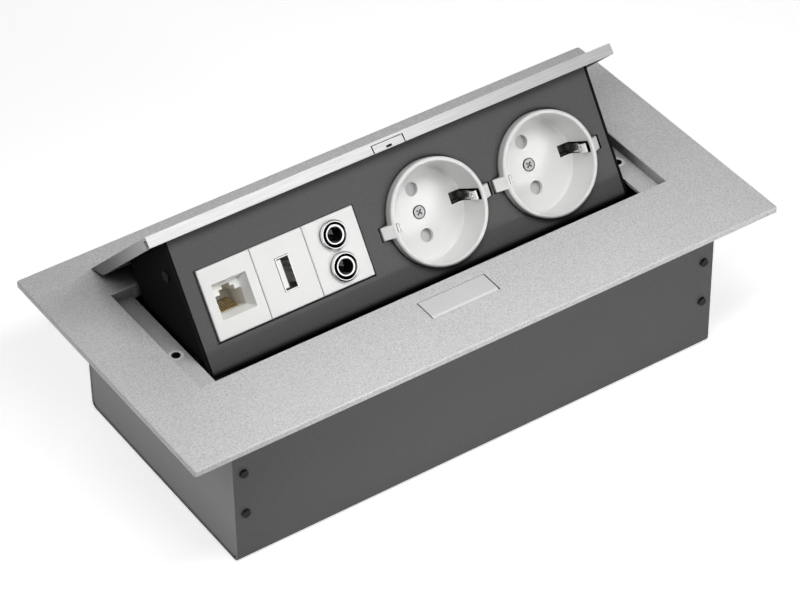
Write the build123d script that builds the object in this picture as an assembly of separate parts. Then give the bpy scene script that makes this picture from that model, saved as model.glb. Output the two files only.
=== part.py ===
from build123d import *
from math import cos, radians, sin, sqrt, tan
import os

# Recessed furniture socket, in millimetres. X runs along the long side, -Y is the front, +Z is up.
# The origin is the centre of the worktop cut-out, on the worktop's top face.
# The lid is drawn shut, level with the frame, and the whole tilting unit is then turned open.

# Frame that lies on the worktop
frame_length = 265.0
frame_depth = 130.0
frame_thick = 2.5
frame_corner = 1.0
frame_bevel = 0.3
rebate_depth = 0.5  # shallow pocket under the frame that takes the box and the brackets
rebate_gap = 0.3

# Recess for the lid, open in the middle, with a ledge at each end
recess_length = 214.0
recess_front_shelf = 26.65  # from the box front to the recess
recess_back_shelf = 16.55
recess_drop = 4.8
recess_wall = 1.5
ledge_width = 9.0
ledge_screw_inset = 4.6
ledge_screw_shift = 6.85  # in front of the recess's middle

# Sheet steel box under the frame
box_length = 221.5
box_depth = 107.5
box_drop = 63.5
box_sheet = 1.2
box_bend = 2.5
end_inset = 0.1
end_flange = 12.0
end_gap = 0.1
end_relief = 4.0
end_tab_length = 30.0
box_screw_inset = 4.55
front_screw_drops = (20.5, 40.3)
rear_screw_lifts = (29.5, 9.5)
rear_flange_drop = 29.0  # the rear flanges stop short of the pivots
box_screw_radius = 1.5
box_head_radius = 1.7
box_head_height = 0.9

# Lid, a shallow folded pan
lid_thick = 4.5
lid_sheet = 1.2
lid_front_gap = 0.3
lid_back_gap = 0.5
lid_end_gap = 1.6
lid_bevel = 8.6
lid_slit = 3.4  # the end flanges start this far behind the lid's front
lid_strip_flat = 0.4
open_angle = 45.0
stop_gap = 0.25
pivot_drop = 21.7

# Front panel and rear cover of the tilting unit
panel_setback = 7.8
panel_lean = 11.3
panel_length = 190.4
panel_sheet = 1.2
panel_drop = 57.8
panel_bend = 3.0
top_bend = 1.6
top_flange = 12.0
side_flange = 13.0
unit_depth = 36.5
cover_sheet = 1.0
cover_foot = 10.0
cover_gap = 0.3
cable_hole_radius = 6.0
cable_hole_x = 72.0

# Side plates and their pivots
side_sheet = 1.5
side_setback = 0.4
arm_boss_radius = 6.0
arm_root_radius = 10.0
arm_root_drop = 38.0
pin_radius = 3.0
pin_head_radius = 4.6
pin_head = 1.6
running_gap = 0.06
bush_radius = 4.5
bush_flange_radius = 5.8
bush_flange = 1.0
press_gap = 0.02
ear_sheet = 2.0
ear_setback = 4.0  # from the recess's end to the bracket ear
ear_radius = 6.2
ear_front_gap = 0.3
foot_thick = 1.5
foot_length = 5.6
clip_ring_radius = 5.0
clip_thick = 0.8
clip_mouth = 3.0
pin_tail = 0.9

# Torsion springs round the pivot pins
coil_radius = 4.6
coil_wire = 0.55
coil_pitch = 1.15
coil_turns = 3.25
coil_front_leg = 12.0
coil_side_gap = 0.25
post_radius = 1.5
post_length = 2.6
post_reach = 9.0
wire_sides = 6

# Small screws, studs and nuts
m3_radius = 1.5
m3_head_radius = 2.6
m3_head = 1.6
m3_nut_flats = 5.5
m3_nut = 2.2
screw_gap = 0.05
blind_depth = 1.2
countersink_radius = 3.0
countersink_drop = 1.5
stud_length = 4.2
stud_xs = (-84.0, -28.0, 39.8, 84.0)
side_screw_radius = 1.2
side_head_radius = 2.2
side_head = 0.7
side_screw_length = 6.0
side_screw_inset = 7.0
side_screw_drops = (16.0, 50.0)

# Earthed socket inserts
socket_xs = (13.7, 65.9)
socket_drop = 32.7
ring_radius = 21.2
ring_proud = 3.8
ring_bevel = 0.6
ring_inner_bevel = 0.4
well_radius = 19.5
well_depth = 17.5
well_floor = 1.8
well_floor_bevel = 1.0
ring_hole_gap = 0.8
pin_spacing = 19.0
pin_hole_radius = 2.75
lug_reach = 24.7
lug_width = 5.1
lug_rise = 0.4
lug_step = 0.1
notch_end_gap = 1.0
notch_gap = 0.35
slot_width = 4.5
slot_reach = 4.9
slot_back = 0.8
slot_top = 1.6
hub_radius = 3.0
centre_screw_radius = 1.5
centre_head_radius = 2.25
centre_head = 1.1
centre_sink_radius = 2.8
centre_sink = 1.0
centre_screw_length = 9.0
cross_length = 2.8
cross_width = 0.6
cross_depth = 0.5

# Socket base, shutter, sleeves and earth clip
base_wall = 1.8
base_gap = 0.2
base_collar = 1.2
base_collar_thick = 2.5
base_block_width = 32.0
base_block_height = 30.0
base_depth = 33.4
base_floor = 1.8
shutter_thick = 1.2
shutter_gap = 0.3
shutter_half_width = 3.2
shutter_reach = 13.2
shutter_hub_radius = 5.4
shutter_room_gap = 1.0
shutter_ramp = 0.8
sleeve_radius = 3.2
sleeve_wall = 0.75
sleeve_slit = 0.9
sleeve_end_gap = 0.4
clip_width = 3.6
clip_strip = 0.7
clip_contact_x = 16.8
clip_side_x = 18.9
clip_contact_low = -1.5
clip_contact_high = 0.9
clip_bow = 4.6
clip_flare = 0.9
clip_dimple_radius = 1.0
clip_dimple = 0.3
clip_pad_radius = 3.4

# Data modules
module_width = 23.1
module_height = 28.1
module_centre_x = -53.7
module_drop = 31.45
module_proud = 0.3
module_joint = 0.2
module_gap = 0.3
module_left_room = 0.7  # the cut-out is wider than the modules at the left and below
module_low_room = 0.4
support_border = 4.0
support_lip = 1.9
support_thick = 3.0

# Network jack
funnel_width = 14.9
funnel_height = 14.0
funnel_throat_width = 11.9
funnel_throat_height = 10.8
funnel_depth = 5.0
funnel_wall = 1.3
jack_width = 15.2
jack_top = 8.0
jack_bottom = -8.5
jack_depth = 18.0
port_width = 11.7
port_height = 6.8
port_depth = 13.0
latch_steps = ((6.4, 1.9), (3.4, 1.4))
wire_count = 8
wire_pitch = 1.02
wire_width = 0.5
wire_thick = 0.4
wire_setback = 3.2
wire_run = 5.9
wire_rise = 3.2

# USB jack
usb_height = 13.3
usb_width = 5.9
usb_wall = 0.4
usb_depth = 17.0
usb_hole_gap = 0.15
usb_lip = 0.3
tongue_height = 11.1
tongue_thick = 1.9
tongue_offset = 0.3
tongue_setback = 1.2
tongue_block = 3.0
contact_ys = (-3.5, -1.0, 1.0, 3.5)
contact_width = 1.0
contact_thick = 0.2

# Audio jacks
audio_pitch = 12.8
bezel_radius = 5.75
bezel_proud = 2.0
bezel_rim = 0.8
bezel_bevel = 0.5
dish_floor = 0.6
sleeve_lip = 0.25
bushing_wall = 0.7
bore_radius = 3.2
barrel_radius = 4.5
barrel_gap = 0.1
barrel_length = 6.0
audio_nut_flats = 11.0
audio_nut = 2.0
audio_body = 12.0
audio_body_depth = 14.0
audio_body_wall = 1.5
audio_room = 0.3
leaf_width = 2.0
leaf_thick = 0.4
leaf_rise = 0.9
leaf_foot = 0.3
leaf_foot_inset = 0.5
leaf_setback = 1.0
leaf_half_length = 5.0

# Release button, latch bolt and their guide
button_length = 30.0
button_depth = 10.5
button_setback = 11.35  # from the recess to the middle of the button
button_end_gap = 0.5
button_gap = 0.2
button_bevel = 1.2
button_bevel_drop = 0.6
button_travel = 2.0
button_lip = 0.8
button_lip_thick = 1.4
slide_gap = 0.3
stem_half_width = 3.5
stem_front = 2.55
stem_back = 2.45
stem_ramp_top = 4.0
stem_ramp = 4.2
ramp_gap = 0.25
bolt_half_width = 8.0
bolt_front = 8.05
bolt_bar = 3.0
bolt_block = 1.0
bolt_web = 1.0
bolt_web_half_width = 4.0
bolt_top_drop = 5.0
nose_top_drop = 0.85
nose_thick = 0.5
nose_half_width = 1.1
nose_reach = 1.2
nose_bevel = 0.25
keeper_half_width = 6.75
keeper_gap = 0.5
keeper_thick = 1.6
keeper_foot = 5.0
keeper_slot_gap = 0.2
keeper_rebate = 0.25
keeper_slot_depth = 1.45
guide_wall = 2.5
guide_side = 2.5
guide_floor = 1.2
guide_ear = 8.0
guide_ear_thick = 3.0
spring_pocket_radius = 1.7
spring_pocket = 3.0
spring_seat = 1.5
latch_coil_radius = 1.2
latch_wire = 0.25
latch_turns = 5

# Cable entries, cord anchor and earth stud
mains_x = 70.0
mains_lift = 11.5
mains_bore_radius = 4.1
mains_neck_radius = 6.2
data_x = -60.0
data_lift = 13.5
data_bore_radius = 6.5
data_neck_radius = 8.6
grommet_flange = 2.4
grommet_flange_thick = 1.2
grommet_gap = 0.05
entry_collar = 0.8
entry_collar_wall = 0.9
anchor_width = 24.0
anchor_depth = 8.0
anchor_setback = 11.75
anchor_bar = 4.0
anchor_split = 1.0
anchor_screw_spacing = 15.0
earth_x = -90.0
earth_setback = 23.75
earth_radius = 2.0
earth_height = 9.0
earth_flats = 7.0
earth_nut = 3.2

# Places worked out from the sizes above
seat_z = rebate_depth
box_end = box_length / 2
box_side = box_depth / 2
box_inside = box_side - box_sheet
box_floor = box_sheet - box_drop
collar_tip = box_inside - entry_collar
rear_screw_drops = [box_drop - lift for lift in rear_screw_lifts]
recess_front = recess_front_shelf - box_side
recess_back = box_side - recess_back_shelf
ledge_screw_y = (recess_front + recess_back) / 2 - ledge_screw_shift
lid_top = frame_thick
lid_under = lid_top - lid_sheet
lid_low = lid_top - lid_thick
lid_front = recess_front + lid_front_gap
lid_back = recess_back - lid_back_gap
lid_end = recess_length / 2 - lid_end_gap
recess_end = recess_length / 2
ledge_end = recess_end - ledge_width
ledge_top = frame_thick - recess_drop
ledge_low = ledge_top - recess_wall
pivot_z = lid_top - pivot_drop
pivot_y = lid_back + pivot_drop * tan(radians(open_angle / 2)) + stop_gap / sin(radians(open_angle))
plate_end = box_end - end_inset
plate_inside = plate_end - box_sheet
ledge_screw_x = recess_end - ledge_screw_inset
panel_end = panel_length / 2
side_end = panel_end + side_sheet
lean = radians(panel_lean)
ear_inset = recess_end - ear_setback
ear_front = recess_back + recess_wall + ear_front_gap
button_centre_y = recess_front - button_setback
mains_drop = box_drop - mains_lift
data_drop = box_drop - data_lift
anchor_y = box_side - anchor_setback
earth_y = box_side - earth_setback

# The unit turns about the pivot from shut to open
pivot_at = Location((0, pivot_y, pivot_z))
unit_open = pivot_at * Location((0, 0, 0), (-open_angle, 0, 0)) * pivot_at.inverse()

# Panel axes: X along the panel, Y up its face, Z out of its face, from where the face meets the lid
panel_plane = Plane(
    origin=(0, lid_front + panel_setback, lid_under),
    x_dir=(1, 0, 0),
    z_dir=(0, -cos(lean), -sin(lean)),
)
panel_at = unit_open * panel_plane.location
pivot_on_panel = panel_plane.to_local_coords(Vector(0, pivot_y, pivot_z))


def block(x0, x1, y0, y1, z0, z1):
    """A box between two corners."""
    return Pos((x0 + x1) / 2, (y0 + y1) / 2, (z0 + z1) / 2) * Box(x1 - x0, y1 - y0, z1 - z0)


def disc(radius, z0, z1, x=0.0, y=0.0):
    """A cylinder along Z between two heights."""
    return Pos(x, y, (z0 + z1) / 2) * Cylinder(radius, z1 - z0)


def rod_x(radius, x0, x1, y, z):
    """A cylinder along X between two ends."""
    return Pos((x0 + x1) / 2, y, z) * Rotation(0, 90, 0) * Cylinder(radius, x1 - x0)


def rod_y(radius, y0, y1, x, z):
    """A cylinder along Y between two ends."""
    return Pos(x, (y0 + y1) / 2, z) * Rotation(90, 0, 0) * Cylinder(radius, y1 - y0)


def hexagon(flats, z0, z1, x=0.0, y=0.0):
    """A hexagonal prism along Z between two heights."""
    face = Pos(x, y, z0) * RegularPolygon(flats / 2, 6, major_radius=False)
    return extrude(face, amount=z1 - z0)


def along_x(face, x0, x1):
    """A solid from a face drawn in Y and Z, between two places along X."""
    return extrude(Plane.YZ.offset(x0) * face, amount=x1 - x0, dir=(1, 0, 0))


def outline(points):
    """A face inside a closed polygon."""
    return make_face(Polyline(*points, close=True))


def bent_sheet(points, radii, thick, x0, x1, side=Side.LEFT):
    """A sheet folded along a line of points in Y and Z, with a bend radius at each corner."""
    path = FilletPolyline(*points, radius=radii)
    return along_x(make_face(offset(path, amount=thick, side=side)), x0, x1)


def mirrored(shape):
    """The same piece at the other end."""
    return shape.mirror(Plane.YZ)


def at_both_ends(shape):
    """A piece and its mirror image, as separate solids."""
    return Compound([*shape.solids(), *mirrored(shape).solids()])


def group(shapes):
    """Several separate solids as one piece group."""
    return Compound([solid for shape in shapes for solid in shape.solids()])


def coil(radius, wire, pitch, turns, first_leg=0.0, last_leg=0.0):
    """A spring along Z from z = 0, with straight legs that leave its ends along the wire."""
    helix = Helix(pitch, pitch * turns, radius)
    start, end = helix @ 0, helix @ 1
    lead, tail = helix % 0, helix % 1
    edges = [helix]
    if first_leg > 0:
        edges = [Line(start - lead * first_leg, start), helix, Line(end, end + tail * last_leg)]
    path = Wire([edge for line in edges for edge in line.edges()])
    section = Plane(path @ 0, z_dir=path % 0) * RegularPolygon(wire, wire_sides)
    return sweep(section, path=path)


def save(shape, name):
    """Writes one sub-part."""
    export_step(shape, f"parts/{name}.step")


# Frame

button_front = button_centre_y - button_depth / 2
button_back = button_centre_y + button_depth / 2
guide_end = button_length / 2 + button_lip + slide_gap + guide_side
ear_screw_x = guide_end + guide_ear / 2
nose_z = -nose_top_drop - nose_thick
ear_back = pivot_y + coil_radius - coil_wire - press_gap
bracket_screw_x = ear_inset - m3_head_radius - press_gap * 5
bracket_screw_ys = (ear_front + m3_head_radius, ear_back - m3_head_radius - press_gap * 5)


def blind_hole(x, y):
    """A tapped blind hole up into the frame, seen from below."""
    return disc(m3_radius + screw_gap, seat_z - 0.01, seat_z + blind_depth, x, y)


def make_frame():
    plate = extrude(
        RectangleRounded(frame_length, frame_depth, frame_corner), amount=frame_thick
    )
    plate = chamfer(plate.faces().sort_by(Axis.Z)[-1].edges(), frame_bevel)
    rebate_x = box_end + rebate_gap
    rebate_y = box_side + rebate_gap
    plate -= block(-rebate_x, rebate_x, -rebate_y, rebate_y, -1, seat_z)
    wall_x = recess_end + recess_wall
    tray = block(
        -wall_x, wall_x, recess_front - recess_wall, recess_back + recess_wall, ledge_low, seat_z
    )
    frame = plate + tray
    frame -= block(-recess_end, recess_end, recess_front, recess_back, ledge_top, frame_thick + 1)
    frame -= block(-ledge_end, ledge_end, recess_front, recess_back, ledge_low - 1, ledge_top + 1)
    rim = frame.faces().sort_by(Axis.Z)[-1].inner_wires()[0].edges()
    frame = chamfer(rim, frame_bevel)
    hole_x = button_length / 2 + button_end_gap
    frame -= block(
        -hole_x, hole_x, button_front - button_gap, button_back + button_gap, 0, frame_thick + 1
    )
    slot_x = nose_half_width + slide_gap
    frame -= block(
        -slot_x,
        slot_x,
        recess_front - recess_wall - 1,
        recess_front + 1,
        nose_z - slide_gap,
        -nose_top_drop + slide_gap,
    )
    for x in (-ledge_screw_x, ledge_screw_x):
        frame -= disc(m3_radius + screw_gap, ledge_low - 1, ledge_top + 1, x, ledge_screw_y)
        frame -= Pos(x, ledge_screw_y, ledge_top - countersink_drop / 2) * Cone(
            m3_radius + screw_gap, countersink_radius + screw_gap, countersink_drop
        )
    for x in (-ear_screw_x, ear_screw_x):
        frame -= blind_hole(x, button_centre_y)
    for x in (-bracket_screw_x, bracket_screw_x):
        for y in bracket_screw_ys:
            frame -= blind_hole(x, y)
    return frame


def make_frame_screws():
    """Countersunk screws through the ledges into the tabs of the box ends."""
    shank = disc(m3_radius - 0.02, ledge_low - box_sheet - 2, ledge_top - countersink_drop)
    head = Pos(0, 0, ledge_top - countersink_drop / 2) * Cone(
        m3_radius - 0.02, countersink_radius, countersink_drop
    )
    screw = shank + head
    for angle in (0, 90):
        slot = Rotation(0, 0, angle) * Box(cross_length, cross_width, 2 * cross_depth)
        screw -= Pos(0, 0, ledge_top) * slot
    return at_both_ends(Pos(ledge_screw_x, ledge_screw_y, 0) * screw)


# Box

def make_shell():
    points = [
        (-box_side, seat_z),
        (-box_side, -box_drop),
        (box_side, -box_drop),
        (box_side, seat_z),
    ]
    shell = bent_sheet(points, box_bend, box_sheet, -box_end, box_end)
    for x in (-box_end + box_screw_inset, box_end - box_screw_inset):
        for drop in front_screw_drops:
            shell -= rod_y(box_screw_radius, -box_side - 1, 0, x, -drop)
        for drop in rear_screw_drops:
            shell -= rod_y(box_screw_radius, 0, box_side + 1, x, -drop)
    for x, drop, neck in (
        (mains_x, mains_drop, mains_neck_radius),
        (data_x, data_drop, data_neck_radius),
    ):
        hole = neck + grommet_gap
        shell += rod_y(hole + entry_collar_wall, collar_tip, box_side - box_sheet / 2, x, -drop)
        shell -= rod_y(hole, collar_tip - 1, box_side + 1, x, -drop)
    shell -= disc(earth_radius + screw_gap, -box_drop - 1, box_floor + 1, earth_x, earth_y)
    for x in (mains_x - anchor_screw_spacing / 2, mains_x + anchor_screw_spacing / 2):
        shell -= disc(m3_radius + screw_gap, -box_drop - 1, box_floor + 1, x, anchor_y)
    return shell


def make_end_plate():
    """The right end: a web with inward flanges front, rear and below, and a tab for the frame screw."""
    side = box_inside - end_gap
    low = box_floor + end_gap
    inner = plate_end - end_flange
    plate = block(plate_inside, plate_end, -side, side, low, seat_z)
    plate = fillet(plate.edges().filter_by(Axis.X).group_by(Axis.Z)[0], box_bend)
    front = block(inner, plate_end, -side, box_sheet - side, low + end_relief, -end_relief)
    rear = block(
        inner, plate_end, side - box_sheet, side, low + end_relief, -rear_flange_drop
    )
    foot = block(inner, plate_end, end_relief - side, side - end_relief, low, low + box_sheet)
    window = block(
        plate_inside - 1,
        plate_end + 1,
        ledge_screw_y - end_tab_length / 2 - 1,
        ledge_screw_y + end_tab_length / 2 + 1,
        ledge_low,
        seat_z + 1,
    )
    tab = block(
        inner,
        plate_end,
        ledge_screw_y - end_tab_length / 2,
        ledge_screw_y + end_tab_length / 2,
        ledge_low - box_sheet,
        ledge_low,
    )
    plate = (plate + front + rear + foot - window) + tab
    plate -= disc(m3_radius, ledge_low - 5, ledge_low + 1, ledge_screw_x, ledge_screw_y)
    x = box_end - box_screw_inset
    for drop in front_screw_drops:
        plate -= rod_y(box_screw_radius, -box_side, 0, x, -drop)
    for drop in rear_screw_drops:
        plate -= rod_y(box_screw_radius, 0, box_side, x, -drop)
    return plate


def make_box_screws():
    """Low-headed black screws, front and rear, through the shell into the end flanges."""
    radius = box_screw_radius - screw_gap
    tip = box_inside - end_gap - box_sheet - 1.5
    x = box_end - box_screw_inset
    screw = rod_y(radius, -box_side, -tip, x, 0)
    screw += rod_y(box_head_radius, -box_side - box_head_height, -box_side, x, 0)
    front = [Pos(0, 0, -drop) * screw for drop in front_screw_drops]
    rear = [Pos(0, 0, -drop) * screw.mirror(Plane.XZ) for drop in rear_screw_drops]
    return at_both_ends(group(front + rear))


# Pivots

def make_bracket():
    """The right bracket: an ear round the pivot and a foot under the frame's rear border."""
    boss = Pos(pivot_y, pivot_z) * Circle(ear_radius)
    top = Pos((ear_front + ear_back) / 2, seat_z - foot_thick / 2) * Rectangle(
        ear_back - ear_front, foot_thick
    )
    ear = along_x(make_hull([*boss.edges(), *top.edges()]), ear_inset, ear_inset + ear_sheet)
    foot = block(
        ear_inset - foot_length, ear_inset + ear_sheet, ear_front, ear_back,
        seat_z - foot_thick, seat_z,
    )
    bracket = ear + foot
    hole = bush_radius + press_gap
    bracket -= rod_x(hole, ear_inset - 1, ear_inset + ear_sheet + 1, pivot_y, pivot_z)
    for y in bracket_screw_ys:
        bracket -= disc(m3_radius + screw_gap, seat_z - foot_thick - 1, seat_z + 1, bracket_screw_x, y)
    return bracket


def make_bushes():
    sleeve = rod_x(bush_radius, ear_inset, ear_inset + ear_sheet, pivot_y, pivot_z)
    flange = rod_x(bush_flange_radius, ear_inset - bush_flange, ear_inset, pivot_y, pivot_z)
    bore = rod_x(
        pin_radius + running_gap, ear_inset - bush_flange - 1, ear_inset + ear_sheet + 1,
        pivot_y, pivot_z,
    )
    return at_both_ends(sleeve + flange - bore)


def make_up_screw(x, y, under):
    """A cheese-head screw driven up into the frame from below."""
    head = disc(m3_head_radius, under - m3_head, under, x, y)
    return head + disc(m3_radius, under, seat_z + blind_depth - 0.1, x, y)


def make_bracket_screws():
    screws = [
        make_up_screw(bracket_screw_x, y, seat_z - foot_thick) for y in bracket_screw_ys
    ]
    return at_both_ends(group(screws))


pin_end = ear_inset + ear_sheet + clip_thick + pin_tail


def make_pins():
    """Shoulder pins riveted in the side plates, drawn with the lid shut."""
    head = rod_x(pin_head_radius, panel_end - pin_head, panel_end, pivot_y, pivot_z)
    shaft = rod_x(pin_radius, panel_end, pin_end, pivot_y, pivot_z)
    return unit_open * at_both_ends(head + shaft)


def make_pin_clips():
    """Retaining rings outside the bracket ears, turning with the pins."""
    x0 = ear_inset + ear_sheet + running_gap
    ring = rod_x(clip_ring_radius, x0, x0 + clip_thick, pivot_y, pivot_z)
    ring -= rod_x(pin_radius + press_gap, x0 - 1, x0 + clip_thick + 1, pivot_y, pivot_z)
    gap = block(
        x0 - 1, x0 + clip_thick + 1, pivot_y - clip_mouth / 2, pivot_y + clip_mouth / 2,
        pivot_z - clip_ring_radius - 1, pivot_z,
    )
    return unit_open * at_both_ends(ring - gap)


def make_torsion_spring():
    """The right spring: one leg under the side plate's post, the other up behind the foot."""
    up_leg = seat_z - 0.3 - pivot_z
    spring = coil(coil_radius, coil_wire, coil_pitch, coil_turns, coil_front_leg, up_leg)
    spring = Rotation(0, 90, 0) * spring
    return Pos(side_end + coil_side_gap + coil_wire, pivot_y, pivot_z) * spring


# Tilting unit

def make_lid():
    """The folded pan, drawn shut."""
    corners = [
        (lid_front, lid_low),
        (lid_front, lid_top),
        (lid_back, lid_top),
        (lid_back - lid_bevel, lid_low),
    ]
    slope = lid_thick / lid_bevel
    bevel_shift = lid_sheet * sqrt(1 + slope * slope) / slope
    inner_back = lid_back - lid_sheet / slope - bevel_shift
    inner_low = lid_back - (lid_thick + 1) / slope - bevel_shift
    hollow = [
        (lid_front + lid_sheet, lid_low - 1),
        (lid_front + lid_sheet, lid_under),
        (inner_back, lid_under),
        (inner_low, lid_low - 1),
    ]
    pan = along_x(outline(corners), -lid_end, lid_end)
    inner_end = lid_end - lid_sheet
    pan -= along_x(outline(hollow), -inner_end, inner_end)
    flat_y = lid_front + lid_strip_flat
    strip_back = lid_front + lid_sheet
    slit = outline(
        [
            (lid_end + 1, flat_y - 1),
            (lid_end - (strip_back - flat_y), strip_back),
            (inner_end - 1, strip_back),
            (inner_end - 1, lid_front + lid_slit),
            (lid_end + 1, lid_front + lid_slit),
        ]
    )
    slit = Pos(0, 0, lid_low - 1) * extrude(slit, amount=lid_under - lid_low + 1)
    pan -= slit + mirrored(slit)
    notch = keeper_half_width + keeper_gap
    pan -= block(-notch, notch, lid_front - 1, lid_front + lid_sheet, lid_low - 1, lid_under)
    return unit_open * pan


def make_keeper():
    """The striker in the middle of the lid's front edge, with the slot that takes the latch nose."""
    front = block(
        -keeper_half_width, keeper_half_width, lid_front, lid_front + keeper_thick,
        lid_low, lid_under,
    )
    foot = block(
        -keeper_half_width, keeper_half_width, lid_front, lid_front + keeper_thick + keeper_foot,
        lid_under - 1.0, lid_under,
    )
    slot = block(
        -nose_half_width - keeper_slot_gap,
        nose_half_width + keeper_slot_gap,
        lid_front - 1,
        lid_front + keeper_slot_depth,
        nose_z - keeper_slot_gap,
        -nose_top_drop + keeper_slot_gap,
    )
    rebate = block(
        -keeper_half_width, keeper_half_width, lid_front, lid_front + keeper_thick / 2,
        lid_under - keeper_rebate, lid_under,
    )
    return unit_open * (front + foot - slot - rebate)


front_stud_y = lid_front + panel_setback + top_flange * 0.62
cover_top_y = lid_front + panel_setback + unit_depth / cos(lean)
back_stud_y = cover_top_y - cover_foot * 0.6


def make_studs():
    """Studs welded under the lid for the panel and the rear cover."""
    studs = []
    for x in stud_xs:
        for y in (front_stud_y, back_stud_y):
            studs.append(disc(m3_radius - screw_gap, lid_under - stud_length, lid_under, x, y))
    return unit_open * group(studs)


def make_stud_nuts():
    nuts = []
    for x in stud_xs:
        for y, sheet in ((front_stud_y, panel_sheet), (back_stud_y, cover_sheet)):
            top = lid_under - sheet
            nut = hexagon(m3_nut_flats, top - m3_nut, top, x, y)
            nuts.append(nut - disc(m3_radius, top - m3_nut - 1, top + 1, x, y))
    return unit_open * group(nuts)


def stud_holes(y):
    """Clearance holes for one row of studs, drawn shut."""
    return group(
        [disc(m3_radius + screw_gap, lid_under - 3, lid_under + 1, x, y) for x in stud_xs]
    )


def lid_line(z):
    """Height on the panel's axes where the lid's underside passes, at depth z."""
    return z * tan(lean)


def module_window(border):
    """The panel cut-out for the three modules, with a border all round."""
    half_width = 1.5 * module_width + border
    half_height = module_height / 2 + border
    return (
        module_centre_x - half_width,
        module_centre_x + half_width,
        -module_drop - half_height,
        -module_drop + half_height,
    )


def make_panel():
    """Folded front sheet: lid flange, face, rounded bottom bend, bottom flange and side flanges."""
    points = [
        (lid_line(-top_flange), -top_flange),
        (0, 0),
        (-panel_drop, 0),
        (-panel_drop, -unit_depth),
    ]
    panel = bent_sheet(
        points, [top_bend, panel_bend], panel_sheet, -panel_end, panel_end, Side.LEFT
    )
    flange = block(
        panel_end - panel_sheet, panel_end, panel_bend - panel_drop, -side_flange,
        -side_flange, -panel_sheet / 2,
    )
    panel += flange + mirrored(flange)
    for x in socket_xs:
        panel -= disc(ring_radius + ring_hole_gap, -side_flange, 1, x, -socket_drop)
        reach = lug_reach + notch_end_gap
        half = lug_width / 2 + notch_gap
        panel -= block(
            x - reach, x + reach, -socket_drop - half, -socket_drop + half, -panel_sheet - 1, 1
        )
    left, right, low, high = module_window(module_gap)
    panel -= block(
        left - module_left_room, right, low - module_low_room, high, -panel_sheet - 1, 1
    )
    holes = panel_plane.location.inverse() * stud_holes(front_stud_y)
    panel -= holes
    for drop in side_screw_drops:
        panel -= rod_x(
            side_screw_radius, -panel_end - 1, panel_end + 1, -drop, -side_screw_inset
        )
    return panel_at * panel


def make_cover():
    """Rear cover: lid flange, back wall and foot, closing the unit behind the sockets."""
    foot_y = panel_sheet - panel_drop
    points = [
        (lid_line(cover_foot - unit_depth), cover_foot - unit_depth),
        (lid_line(-unit_depth), -unit_depth),
        (foot_y, -unit_depth),
        (foot_y, cover_foot - unit_depth),
    ]
    end = panel_end - panel_sheet - cover_gap
    cover = bent_sheet(points, top_bend, cover_sheet, -end, end, Side.RIGHT)
    for x in (-cable_hole_x, cable_hole_x):
        cover -= disc(cable_hole_radius, -unit_depth - 1, 2 - unit_depth, x, -unit_depth)
    cover -= panel_plane.location.inverse() * stud_holes(back_stud_y)
    return panel_at * cover


def make_side_plate():
    """The right side plate with its arm to the pivot and the post for the spring."""
    low = side_setback - panel_drop
    face = outline(
        [
            (lid_line(-side_setback), -side_setback),
            (low, -side_setback),
            (low, -unit_depth),
            (lid_line(-unit_depth), -unit_depth),
        ]
    )
    face = fillet(face.vertices().sort_by(Axis.X)[:2], panel_bend)
    pivot = (pivot_on_panel.Y, pivot_on_panel.Z)
    boss = Pos(*pivot) * Circle(arm_boss_radius)
    root = Pos(-arm_root_drop, -unit_depth) * Circle(arm_root_radius)
    arm = make_hull([*boss.edges(), *root.edges()])
    plate = along_x(face + arm, panel_end, side_end)
    plate -= rod_x(pin_radius + press_gap, panel_end - 1, side_end + 1, *pivot)
    for drop in side_screw_drops:
        plate -= rod_x(
            side_screw_radius + screw_gap, panel_end - 1, side_end + 1, -drop, -side_screw_inset
        )
    plate = panel_at * plate
    post_z = pivot_z - coil_radius + coil_wire + post_radius
    post = rod_x(post_radius, side_end, side_end + post_length, pivot_y - post_reach, post_z)
    return plate + post


def make_side_screws():
    """Screws that hold the side plates to the panel's side flanges."""
    screws = []
    for drop in side_screw_drops:
        shank = rod_x(
            side_screw_radius - screw_gap, side_end - side_screw_length, side_end,
            -drop, -side_screw_inset,
        )
        head = rod_x(side_head_radius, side_end, side_end + side_head, -drop, -side_screw_inset)
        screws.append(shank + head)
    return panel_at * at_both_ends(group(screws))


# Earthed sockets, each drawn on the panel's axes round its own centre

well_z = ring_proud - well_depth
insert_low = well_z - well_floor
room_low = insert_low - shutter_thick - 2 * shutter_gap
clip_low = room_low - clip_strip


def socket_at(x):
    """Where a socket stands, from its own axes."""
    return panel_at * Pos(x, -socket_drop, 0)


def turned(points):
    """A solid of revolution about Z from its half outline of radius and height."""
    face = make_face(Polyline(*points, close=True))
    return revolve(Plane.XZ * face, axis=Axis.Z)


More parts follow.
